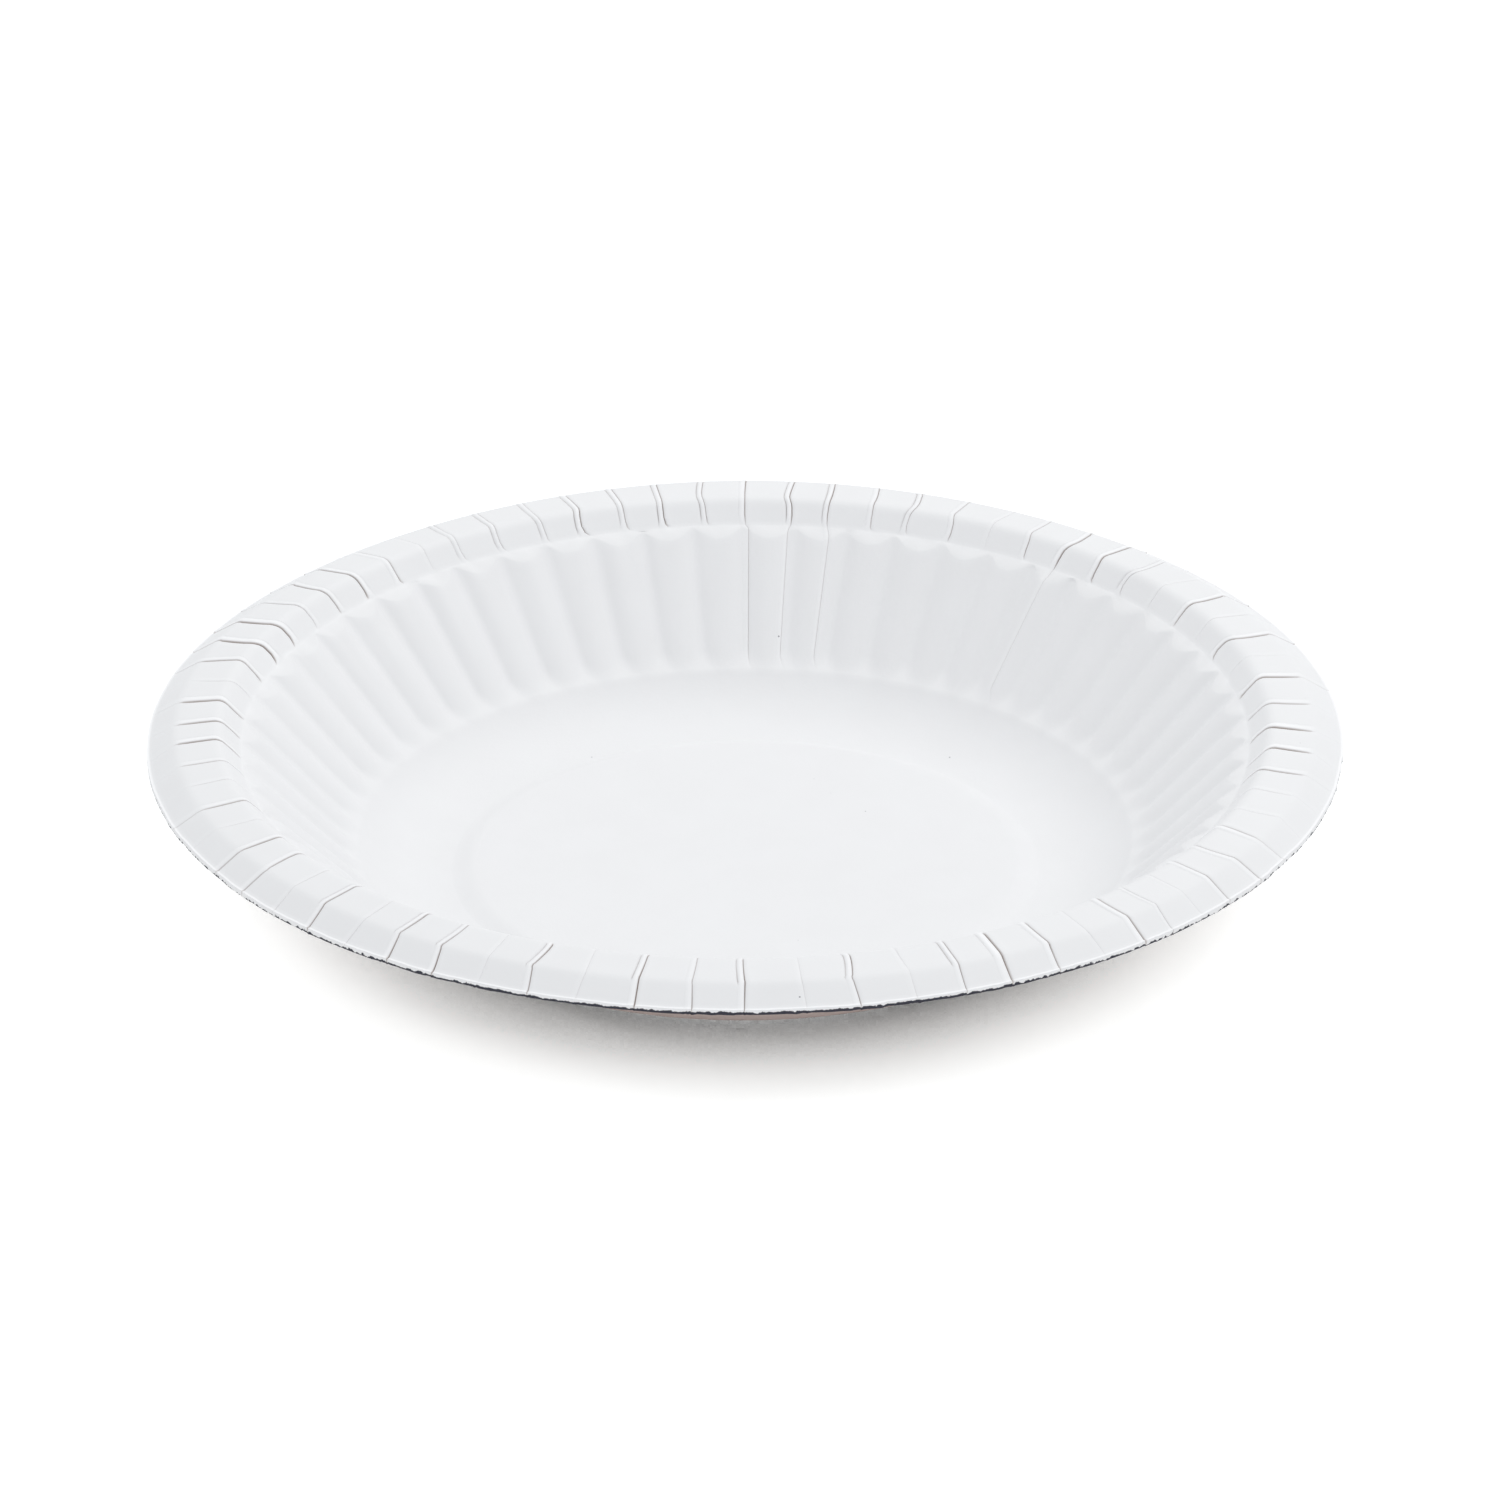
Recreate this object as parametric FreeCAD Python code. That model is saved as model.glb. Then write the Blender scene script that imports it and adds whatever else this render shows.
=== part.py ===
"""A fluted paper bowl with a pleated rim, pressed in one piece from a disc of paperboard.

Frame: millimetres, +Z up, origin on the axis at the height of the table that the
standing ring rests on.  A flute's groove lies on +X.  The bowl is one solid of constant
board thickness.

The section is drawn on the upper (food) side of the board, from the axis outwards:

    raised panel - step - standing ring - cove - fluted wall - shelf - ledge -
    band - crest bend - rim top - outer bend - skirt - cut edge

The underside is the same section moved through the board along its own normals.
Panel, step and ring are turned about the axis.  Cove and wall are sixty flutes: the cove
is straight across each of them, a ridge is a cylinder that leans with the wall, and two
neighbours meet in a crisp groove, which runs out at its foot on a flatter, straight floor
and ends below the ledge in a small round shelf.  The rim is seventy-two panels, straight
from one pleat to the next.  Each pleat is a crease in the upper side, which starts at
nothing on the crest and runs over the rim top and the outer bend to the cut edge.
"""
import FreeCAD, Part
import os
from math import cos, sin, tan, atan2, sqrt, degrees, radians
from FreeCAD import Vector

# ---------------------------------------------------------------- driving sizes (mm)
diameter = 180.0         # over the cut edge
height = 25.0            # from the table to the highest line of the crest
board = 0.45             # thickness of the pressed paperboard

rim_width = 10.2         # crest bend centre to cut edge, level distance
crest_radius = 2.2       # upper side of the bend between the band and the rim top
rim_fall = 6.0           # degrees that the rim top falls outwards
skirt_width = 4.3        # level width of the skirt outside the outer bend's corner
skirt_fall = 33.0        # degrees that the skirt falls outwards
outer_radius = 3.0       # upper side of the bend between the rim top and the skirt
band_slope = 45.0        # degrees from level, plain band between crest and ledge

pleat_count = 72
pleat_depth = 0.2        # crease below the upper side
pleat_width = 0.5        # crease across, at the upper side

ledge_drop = 3.1         # from the highest line of the crest down to the ledge
shelf_slope = 23.0       # degrees from level, little shelf on top of each ridge
wall_slope = 45.5        # degrees from level, fluted wall
cove_radius = 17.0       # upper side of the curve between the wall and the ring

ring_width = 2.4         # level width of the flat standing ring
step_width = 2.0         # level width of the step between the ring and the panel
panel_rise = 1.0         # height of the panel above the ring

flute_count = 60
flute_depth = 0.9        # ridge top to the bottom of a groove, at the ledge
runout_slope = 28.0      # degrees from level, floor on which a groove runs out
runout_land = 0.5        # width of that floor that is left in front of a ridge
ledge_land = 0.12        # how far a groove bottom stays inside the ledge line

reach = 5.0              # how far bodies that only trim others pass them

# ------------------------------------------------------------- plane vector helpers
# A point of the section is a pair (r, z).


def direction(angle):
    """Unit step that leads outwards and rises by an angle in degrees."""
    return cos(radians(angle)), sin(radians(angle))


def normal(angle):
    """Unit step square to that direction, on the upper side of the board."""
    return -sin(radians(angle)), cos(radians(angle))


def move(point, step, length):
    return point[0] + step[0] * length, point[1] + step[1] * length


def corner(point_a, angle_a, point_b, angle_b):
    """Where the line through point_a at angle_a meets the one through point_b."""
    step = direction(angle_a)
    side = normal(angle_b)
    across = (point_b[0] - point_a[0]) * side[0] + (point_b[1] - point_a[1]) * side[1]
    return move(point_a, step, across / (step[0] * side[0] + step[1] * side[1]))


def down_to_circle(centre, radius, point, angle):
    """Where the line through a point at an angle meets the lower side of a circle."""
    step = direction(angle)
    back = (point[0] - centre[0], point[1] - centre[1])
    along = back[0] * step[0] + back[1] * step[1]
    spare = radius ** 2 - (back[0] ** 2 + back[1] ** 2 - along ** 2)
    return move(point, step, sqrt(spare) - along)


# ----------------------------------------------------------- section of the upper side
crest_centre = (diameter / 2 - rim_width, height - crest_radius)
crest_inner = move(crest_centre, normal(band_slope), crest_radius)
crest_outer = move(crest_centre, normal(-rim_fall), crest_radius)

skirt_corner_r = diameter / 2 - skirt_width
skirt_corner = corner(crest_outer, -rim_fall, (skirt_corner_r, 0), 90)
outer_tangent = outer_radius * tan(radians(skirt_fall - rim_fall) / 2)
outer_start = move(skirt_corner, direction(-rim_fall), -outer_tangent)
outer_end = move(skirt_corner, direction(-skirt_fall), outer_tangent)
outer_centre = move(outer_start, normal(-rim_fall), -outer_radius)
cut_edge = corner(outer_end, -skirt_fall, (diameter / 2, 0), 90)

ledge = corner(crest_inner, band_slope, (0, height - ledge_drop), 0)

# The ridge line of the wall runs inside the ledge by the depth of a flute, and the cove
# ends a little further in, so that a strip of the run-out floor is left all round.
ridge_inside = flute_depth + ledge_land
foot_inside = ridge_inside + runout_land * sin(radians(wall_slope - runout_slope))
ring_level = board
cove_level = ring_level + cove_radius * (1 - cos(radians(wall_slope)))
foot = corner(move(ledge, normal(wall_slope), foot_inside), wall_slope, (0, cove_level), 0)
cove_centre = (foot[0] - cove_radius * sin(radians(wall_slope)), ring_level + cove_radius)

ring_outer_r = cove_centre[0]
ring_inner_r = ring_outer_r - ring_width
panel_r = ring_inner_r - step_width
panel_level = ring_level + panel_rise

# ------------------------------------------------------------- section of the underside


def foot_corner(through):
    """Where the cove meets the run-out floor, on either side of the board."""
    floor = move(foot, normal(runout_slope), -through)
    return down_to_circle(cove_centre, cove_radius + through, floor, runout_slope)


def ledge_corner(through):
    """Where the shelf meets the band, on either side of the board."""
    on_shelf = move(ledge, normal(shelf_slope), -through)
    return corner(on_shelf, shelf_slope, move(ledge, normal(band_slope), -through), band_slope)


# -------------------------------------------------------------------- shape helpers


def at(point, turn=0.0):
    """The point of the section in space, turned about the axis by degrees."""
    angle = radians(turn)
    return Vector(point[0] * cos(angle), point[0] * sin(angle), point[1])


def line(point_a, point_b):
    return Part.LineSegment(at(point_a), at(point_b)).toShape()


def turned(shape, angle=360.0):
    return shape.revolve(Vector(0, 0, 0), Vector(0, 0, 1), angle)


def pattern(faces, count):
    """Copies of the faces, repeated round the axis."""
    copies = []
    for index in range(count):
        for face in faces:
            copy = face.copy()
            copy.rotate(Vector(0, 0, 0), Vector(0, 0, 1), 360.0 / count * index)
            copies.append(copy)
    return copies


def closed_solid(faces):
    shell = Part.Compound(faces)
    shell.sewShape(0.001)
    solid = Part.Solid(shell.Shells[0])
    if solid.Volume < 0:
        solid.reverse()
    return solid


# -------------------------------------------------------------- middle: panel to ring


def polygon_at(point, count):
    """Closed ring of straight lines through a section point, one for each repeat."""
    half = 180.0 / count
    corner_point = (point[0] / cos(radians(half)), point[1])
    points = [at(corner_point, half * (2 * index - 1)) for index in range(count)]
    return Part.makePolygon(points + points[:1])


def middle_side(through):
    """Panel, step and ring of the upper side, or of the underside through the board."""
    slope = -degrees(atan2(panel_rise, step_width))
    on_step = move((panel_r, panel_level), normal(slope), -through)
    edge = corner((0, panel_level - through), 0, on_step, slope)
    low = corner((0, ring_level - through), 0, on_step, slope)
    inner = Part.Wire([Part.makeCircle(low[0], Vector(0, 0, low[1]))])
    outer = polygon_at((ring_outer_r, low[1]), flute_count)
    return [
        turned(line((0, edge[1]), edge)),
        turned(line(edge, low)),
        Part.makeFace([outer, inner], "Part::FaceMakerBullseye"),
    ]


# ------------------------------------------------------------ cove and wall: one flute
flute_half = 180.0 / flute_count


def straight_face(edge, half_angle, back=0.0):
    """An edge of the section run straight across a sector, less a setback at both ends."""
    spread = tan(radians(half_angle))
    far = diameter
    wedge = Part.Face(Part.makePolygon([
        Vector(back / spread, 0, 0),
        Vector(far, far * spread - back, 0),
        Vector(far, back - far * spread, 0),
        Vector(back / spread, 0, 0),
    ])).extrude(Vector(0, 0, 2 * height))
    run = edge.copy()
    run.translate(Vector(0, -diameter / 2, 0))
    return run.extrude(Vector(0, diameter, 0)).common(wedge).Faces[0]


def sector(shape):
    """What a shape in the section sweeps over one flute, from ridge top to ridge top."""
    swept = turned(shape, 2 * flute_half)
    swept.rotate(Vector(0, 0, 0), Vector(0, 0, 1), -flute_half)
    return swept


def cove_edge(through):
    """The cove on one side of the board, from the ring to the foot of the wall."""
    end = foot_corner(through)
    half_turn = atan2(end[0] - cove_centre[0], cove_centre[1] - end[1]) / 2
    radius = cove_radius + through
    middle = (cove_centre[0] + radius * sin(half_turn), cove_centre[1] - radius * cos(half_turn))
    return Part.Arc(at((ring_outer_r, ring_level - through)), at(middle), at(end)).toShape()


def ridge(through, side):
    """Body of the ridge on one side of the groove: a cylinder that leans with the wall."""
    # Seen along the wall at the ledge: half the pitch, and the depth that its turn takes up.
    half_pitch = ledge[0] * sin(radians(flute_half))
    sag = ledge[0] * (1 - cos(radians(flute_half))) * sin(radians(wall_slope))
    depth = flute_depth - sag
    radius = (half_pitch ** 2 + depth ** 2) / (2 * depth)
    length = (ledge[1] - foot[1]) / sin(radians(wall_slope))
    start = move(ledge, normal(wall_slope), ridge_inside - radius)
    start = move(start, direction(wall_slope), -length - 2 * reach)
    way = direction(wall_slope)
    body = Part.makeCylinder(radius - through, length + 4 * reach, at(start), Vector(way[0], 0, way[1]))
    body.rotate(Vector(0, 0, 0), Vector(0, 0, 1), side * flute_half)
    return body


def outline(points):
    """Face of the section inside a closed outline."""
    return Part.Face(Part.Wire([line(a, b) for a, b in zip(points, points[1:] + points[:1])]))


def flute_faces(through):
    """Run-out floor, two half ridges and shelf on one side of the board."""
    low = foot_corner(through)
    high = ledge_corner(through)
    along = direction(wall_slope)
    inside = normal(wall_slope)
    floor_end = move(low, direction(runout_slope), 2 * reach)
    high_in = move(high, inside, reach)
    low_in = move(move(low, inside, reach), along, -reach / 2)
    below = move(low_in, inside, -2 * reach)
    behind = corner(floor_end, 90, high, wall_slope)
    space = sector(outline([low_in, below, (floor_end[0], below[1]), behind, high, high_in]))

    # Board below the run-out floor and before the foot is straight across the flute.
    under = low[1] - 3 * reach
    before = low[0] - 3 * reach
    foot_in = move(low, inside, 2 * reach)
    floor = outline([low, floor_end, (floor_end[0], under), (before, under), foot_in])
    floor.translate(Vector(0, -diameter / 2, 0))
    floor = floor.extrude(Vector(0, diameter, 0))

    shelf_end = move(high, direction(shelf_slope), -2 * reach)
    over = high[1] + reach
    over_shelf = sector(outline([high, shelf_end, (shelf_end[0], over), (high[0], over)]))
    ridges = ridge(through, -1).fuse(ridge(through, 1)).cut(over_shelf)
    space = space.cut([floor, ridges]).removeSplitter()

    # Only the faces of the board are kept: ridges, run-out floor and shelf.
    faces = []
    floor_normal = at(normal(runout_slope))
    for face in space.Faces:
        surface = face.Surface
        kept = isinstance(surface, Part.Cylinder)
        if isinstance(surface, Part.Plane):
            kept = abs(abs(surface.Axis.dot(floor_normal)) - 1) < 1e-6
        if isinstance(surface, Part.Cone):
            kept = abs(abs(surface.SemiAngle) - radians(90 - shelf_slope)) < 1e-6
        if kept:
            faces.append(face)
    return faces


def dish():
    """Middle, cove and sixty flutes as one closed solid, up to the ledge."""
    faces = flute_faces(0.0) + flute_faces(board)
    faces.append(straight_face(cove_edge(0.0), flute_half))
    faces.append(straight_face(cove_edge(board), flute_half))
    faces.append(sector(line(ledge_corner(board), ledge)))
    middle = []
    for face in middle_side(0.0) + middle_side(board):
        middle += face.Faces
    return closed_solid(middle + pattern(faces, flute_count))


# ------------------------------------------------------------------ rim: one panel each
panel_half = 180.0 / pleat_count
panel_sag = diameter / 2 * (1 - cos(radians(panel_half)))
spread = tan(radians(panel_half))


def inwards(point):
    """Section point at the middle of a straight panel, so that its ends reach full size."""
    return point[0] - panel_sag, point[1]


def at_end(point, side, back=0.0):
    """The same point at a panel's end, or set back from it along the panel."""
    return Vector(point[0], side * (point[0] * spread - back), point[1])


def end_edge(face, side, back=0.0):
    """The edge that a straight panel's face has at one of its ends."""
    def off_end(edge):
        middle = edge.CenterOfMass
        return abs(side * middle.y - middle.x * spread + back)
    return min(face.Edges, key=off_end)


def flat(points):
    return Part.Face(Part.makePolygon(points + points[:1]))


def arc(points):
    return Part.Arc(at(points[0]), at(points[1]), at(points[2])).toShape()


def crest_points(deep):
    """Start, middle and end of the crest bend, at a depth below the upper side."""
    angles = (band_slope, (band_slope - rim_fall) / 2, -rim_fall)
    return [inwards(move(crest_centre, normal(angle), crest_radius - deep)) for angle in angles]


def bend_points(deep):
    """Start, middle and end of the outer bend, at a depth below the upper side."""
    angles = (-rim_fall, -(rim_fall + skirt_fall) / 2, -skirt_fall)
    return [inwards(move(outer_centre, normal(angle), outer_radius - deep)) for angle in angles]


def cut_point(deep):
    """End of the skirt, at a depth below the upper side."""
    return inwards(move(cut_edge, normal(-skirt_fall), -deep))


def band_face(low, high):
    """Band of one panel: round where it leaves the ledge, straight at the crest."""
    round_edge = Part.Arc(at(low, -panel_half), at(low), at(low, panel_half)).toShape()
    straight_edge = Part.LineSegment(at_end(high, -1), at_end(high, 1)).toShape()
    return Part.makeRuledSurface(round_edge, straight_edge)


def panel_under():
    """Underside of one panel, from the band to the cut edge."""
    crest = crest_points(board)
    outer = bend_points(board)
    edges = [arc(crest), line(crest[2], outer[0]), arc(outer), line(outer[2], cut_point(board))]
    faces = [straight_face(edge, panel_half) for edge in edges]
    return faces + [band_face(ledge_corner(board), crest[0])]


def panel_over():
    """Upper side of one panel, with half a crease at each end.

    A crease starts at nothing where the crest ends, and is at full depth from the outer
    bend to the cut edge.
    """
    crest = crest_points(0.0)
    outer = bend_points(0.0)
    crease = bend_points(pleat_depth)
    back = pleat_width / 2 / cos(radians(panel_half))
    bends = [arc(outer), line(outer[2], cut_point(0.0))]
    bottoms = [arc(crease), line(crease[2], cut_point(pleat_depth))]

    faces = [band_face(ledge, crest[0]), straight_face(arc(crest), panel_half)]
    faces.append(flat([
        at_end(crest[2], -1), at_end(outer[0], -1, back), at_end(outer[0], 1, back), at_end(crest[2], 1),
    ]))
    for side in (-1, 1):
        faces.append(flat([at_end(crest[2], side), at_end(outer[0], side, back), at_end(crease[0], side)]))
    for edge, bottom in zip(bends, bottoms):
        top = straight_face(edge, panel_half, back)
        low = straight_face(bottom, panel_half)
        faces.append(top)
        for side in (-1, 1):
            faces.append(Part.makeRuledSurface(end_edge(top, side, back), end_edge(low, side)))
    return faces


def panel_edge():
    """Cut edge of one panel, notched by the creases."""
    back = pleat_width / 2 / cos(radians(panel_half))
    top, crease, under = cut_point(0.0), cut_point(pleat_depth), cut_point(board)
    return flat([
        at_end(top, -1, back), at_end(top, 1, back), at_end(crease, 1),
        at_end(under, 1), at_end(under, -1), at_end(crease, -1),
    ])


def rim():
    """Band, crest, rim top and skirt as one closed solid, with a pleat on each joint."""
    seat = turned(line(ledge_corner(board), ledge), 2 * panel_half)
    seat.rotate(Vector(0, 0, 0), Vector(0, 0, 1), -panel_half)
    body = closed_solid(pattern(panel_over() + panel_under() + [panel_edge(), seat], pleat_count))
    body.rotate(Vector(0, 0, 0), Vector(0, 0, 1), panel_half)
    return body


# ------------------------------------------------------------------- put it together
bowl = dish().fuse(rim())
os.makedirs("parts", exist_ok=True)
bowl.exportStep("parts/bowl.step")
print("bowl solids", len(bowl.Solids), "valid", bowl.isValid(), "faces", len(bowl.Faces))
print("volume", round(bowl.Volume, 1), "area", round(bowl.Area, 1))
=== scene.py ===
# %% [markdown]
# # A paper bowl, pressed from one disc of board
#
# The real bowl starts as a flat disc of white paperboard. A heated pair of dies presses
# it into shape in one stroke. The disc has more board at its edge than the bowl has room
# for, so the rim gathers into seventy-two folded pleats. This lesson follows the same
# order: cut a flat blank, give it its thickness, press it, then make the board look like
# board and light it on a pale table.

import math
import random

import bmesh
import bpy
from mathutils import Matrix, Vector, noise


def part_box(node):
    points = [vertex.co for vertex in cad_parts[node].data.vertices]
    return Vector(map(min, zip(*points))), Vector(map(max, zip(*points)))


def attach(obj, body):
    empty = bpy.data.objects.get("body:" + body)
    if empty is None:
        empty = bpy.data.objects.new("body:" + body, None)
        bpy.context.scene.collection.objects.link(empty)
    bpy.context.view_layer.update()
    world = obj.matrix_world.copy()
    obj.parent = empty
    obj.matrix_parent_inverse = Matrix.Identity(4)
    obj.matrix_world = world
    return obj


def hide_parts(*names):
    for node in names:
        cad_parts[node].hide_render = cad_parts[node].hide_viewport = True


MM = 0.001

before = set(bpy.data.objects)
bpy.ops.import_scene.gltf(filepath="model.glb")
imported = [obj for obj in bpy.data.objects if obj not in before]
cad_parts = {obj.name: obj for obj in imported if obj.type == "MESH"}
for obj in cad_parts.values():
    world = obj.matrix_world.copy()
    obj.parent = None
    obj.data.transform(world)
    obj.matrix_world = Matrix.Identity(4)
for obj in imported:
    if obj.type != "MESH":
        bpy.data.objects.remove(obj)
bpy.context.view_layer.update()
bowl_low, bowl_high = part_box("bowl")
print("CAD bowl, mm:", [round(size / MM, 2) for size in bowl_high - bowl_low])

# %% [markdown]
# ## Sizes of the section
#
# The overall size comes from the frame. The rest are the settings of the dies, in
# millimetres and degrees, so that this mesh and the CAD solid are the same bowl. Each is
# named once here, and every point below is worked out from these names.

# %% Sizes of the section
# The raised lips and the warp of the rim stand a little above the die, and a torn edge
# stands a little outside it, so the die is smaller by that much.
edge_allowance, lip_allowance = 0.02, 0.13
cut_radius = round((bowl_high.x - bowl_low.x) / MM / 2, 1) - edge_allowance
height = round(bowl_high.z / MM, 1) - lip_allowance
board = 0.45

rim_width, crest_radius, rim_fall = 10.2, 2.2, 6.0
skirt_width, skirt_fall, outer_radius = 4.3, 33.0, 3.0
band_slope, ledge_drop = 45.0, 3.1
shelf_slope, wall_slope = 23.0, 45.5
cove_radius, ring_width = 17.0, 2.4
step_width, panel_rise, step_easing = 2.0, 1.0, 0.6
flute_count, flute_depth, ledge_land = 60, 0.9, 0.12
runout_slope, runout_land, runout_blend, runout_margin = 28.0, 0.5, 0.5, 0.6
pleat_count = 72
print("outer radius", cut_radius, "height", height)

# %% [markdown]
# ## Points of the section
#
# The section is a chain of straight runs and arcs, and a point of it is a pair: radius
# and height. Three small helpers are enough to find every corner: step along a
# direction, step along the normal of that direction, and cross two lines.


# %% Points of the section
def direction(angle):
    return Vector((math.cos(math.radians(angle)), math.sin(math.radians(angle))))


def normal(angle):
    return Vector((-math.sin(math.radians(angle)), math.cos(math.radians(angle))))


def cross_lines(point_a, angle_a, point_b, angle_b):
    step, side = direction(angle_a), normal(angle_b)
    return point_a + step * ((point_b - point_a).dot(side) / step.dot(side))


crest_centre = Vector((cut_radius - rim_width, height - crest_radius))
crest_in = crest_centre + normal(band_slope) * crest_radius
crest_out = crest_centre + normal(-rim_fall) * crest_radius
skirt_corner = cross_lines(crest_out, -rim_fall, Vector((cut_radius - skirt_width, 0)), 90)
outer_tangent = outer_radius * math.tan(math.radians(skirt_fall - rim_fall) / 2)
outer_in = skirt_corner - direction(-rim_fall) * outer_tangent
outer_out = skirt_corner + direction(-skirt_fall) * outer_tangent
outer_centre = outer_in - normal(-rim_fall) * outer_radius
cut_edge = cross_lines(outer_out, -skirt_fall, Vector((cut_radius, 0)), 90)
ledge = cross_lines(crest_in, band_slope, Vector((0, height - ledge_drop)), 0)

cove_level = board + cove_radius * (1 - math.cos(math.radians(wall_slope)))
ridge_inside = flute_depth + ledge_land
foot_inside = ridge_inside + runout_land * math.sin(math.radians(wall_slope - runout_slope))
foot_line = ledge + normal(wall_slope) * foot_inside
wall_foot = cross_lines(foot_line, wall_slope, Vector((0, cove_level)), 0)
cove_reach = cove_radius * math.sin(math.radians(wall_slope))
cove_centre = Vector((wall_foot.x - cove_reach, board + cove_radius))
ring_out = cove_centre.x
ring_in = ring_out - ring_width
panel_radius = ring_in - step_width
panel_level = board + panel_rise
step_slope = -math.degrees(math.atan2(panel_rise, step_width))
print("ledge", ledge, "wall foot", wall_foot, "panel radius", round(panel_radius, 2))

# %% [markdown]
# ## The die
#
# The die is a function. It takes a place on the section, the turn round the axis and how
# deep the point lies in the board, and gives the point in space. Each zone of the section
# is one short branch. The upper side has a depth of 0 and the underside a depth of the
# board, measured along the normal, so the pressed board keeps one thickness. A flute's
# groove is a share of the flute's depth that changes with the turn, and its run-out is a
# second, gentler slope that takes over towards the foot of the wall.


# %% The die
def arc_point(centre, radius, start, end, part):
    """Point of an arc whose normal turns from one slope to another."""
    return centre + normal(start + (end - start) * part) * radius


def corner_at(point_a, angle_a, point_b, angle_b, deep):
    """Corner of two straight runs, moved into the board."""
    inside_a, inside_b = point_a - normal(angle_a) * deep, point_b - normal(angle_b) * deep
    return cross_lines(inside_a, angle_a, inside_b, angle_b)


def smooth(value):
    """The value held between 0 and 1, and eased at both ends."""
    value = min(max(value, 0.0), 1.0)
    return value * value * (3 - 2 * value)


def soft_max(value_a, value_b, blend):
    """The larger value, with the change from one to the other rounded over a blend."""
    near = max(blend - abs(value_a - value_b), 0.0) / blend
    return max(value_a, value_b) + near * near * blend / 4


groove_start, groove_rounding, groove_gain = 0.78, 4.6, 1.15
runout_fall = math.tan(math.radians(wall_slope - runout_slope))
runout_length = (foot_inside - ledge_land) / runout_fall + runout_margin


def groove_share(turn):
    """0 on a ridge, rising on a round flank to a narrow groove; a groove lies on the X axis."""
    away = abs(2 * ((math.degrees(turn) * flute_count / 360) % 1.0) - 1)
    rounding = groove_rounding * max(away - groove_start, 0.0) ** 2
    return groove_gain * (away * away - rounding)


def wall_point(part, turn, deep):
    """The first half of the wall is the run-out of the groove, the second the wall above it."""
    ridge = ridge_inside - flute_depth * groove_share(turn)
    top = cross_lines(
        ledge + normal(wall_slope) * (ridge - deep), wall_slope,
        ledge - normal(shelf_slope) * deep, shelf_slope,
    )
    foot = wall_foot - normal(wall_slope) * deep
    length = (top - foot).dot(direction(wall_slope))
    above = max(2 * part - 1, 0.0)
    along = runout_length * min(2 * part, 1.0) + (length - runout_length) * above
    inside = ridge
    if part < 0.75:
        inside = soft_max(ridge, foot_inside - along * runout_fall, runout_blend)
    return foot + direction(wall_slope) * along + normal(wall_slope) * (inside - foot_inside)


# %% The floor of the die
def floor_point(zone, part, deep):
    """Panel, step and standing ring; the board rounds both corners of the step."""
    panel_edge, ring_edge = Vector((panel_radius, panel_level)), Vector((ring_in, board))
    edge = corner_at(Vector((0, panel_level)), 0, panel_edge, step_slope, deep)
    foot = corner_at(Vector((0, board)), 0, ring_edge, step_slope, deep)
    edge.x, foot.x = edge.x - step_easing, foot.x + step_easing
    if zone == "panel":
        return Vector((edge.x * part, edge.y))
    if zone == "ring":
        return Vector((foot.x + (ring_out - foot.x) * part, foot.y))
    eased = 0.5 * (part + smooth(part))
    return Vector((edge.x + (foot.x - edge.x) * part, edge.y + (foot.y - edge.y) * eased))


# %% The whole die
def section_point(zone, part, turn, deep):
    """Point of the section, as radius and height, for any zone of the bowl."""
    if zone in ("panel", "step", "ring"):
        return floor_point(zone, part, deep)
    if zone == "cove":
        return arc_point(cove_centre, -(cove_radius + deep), 0, wall_slope, part)
    if zone == "wall":
        return wall_point(part, turn, deep)
    ledge_here = corner_at(ledge, shelf_slope, ledge, band_slope, deep)
    if zone == "shelf":
        return wall_point(1, turn, deep).lerp(ledge_here, part)
    if zone == "band":
        return ledge_here.lerp(crest_in - normal(band_slope) * deep, part)
    if zone == "crest":
        return arc_point(crest_centre, crest_radius - deep, band_slope, -rim_fall, part)
    if zone == "top":
        return crest_out.lerp(outer_in, part) - normal(-rim_fall) * deep
    if zone == "bend":
        return arc_point(outer_centre, outer_radius - deep, -rim_fall, -skirt_fall, part)
    return outer_out.lerp(cut_edge, part) - normal(-skirt_fall) * deep


for zone in ("panel", "ring", "wall", "crest", "skirt"):
    print("end of the", zone, "at", section_point(zone, 1.0, 0.0, 0.0))

# %% [markdown]
# ## The pleats
#
# Every fifth degree the board folds over itself. No two pleats come out alike: some close
# to a hair, some gape, and many show both edges of the fold, a millimetre apart. One
# letter stands for each pleat, going round from the back by the left: f faint, m medium,
# s strong, d strong and double, e medium and double, w wide. A capital says that the
# crease runs on down the wall. Small seeded shifts keep the creases from lying dead
# straight, because the board finds its own way into each fold.

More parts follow.
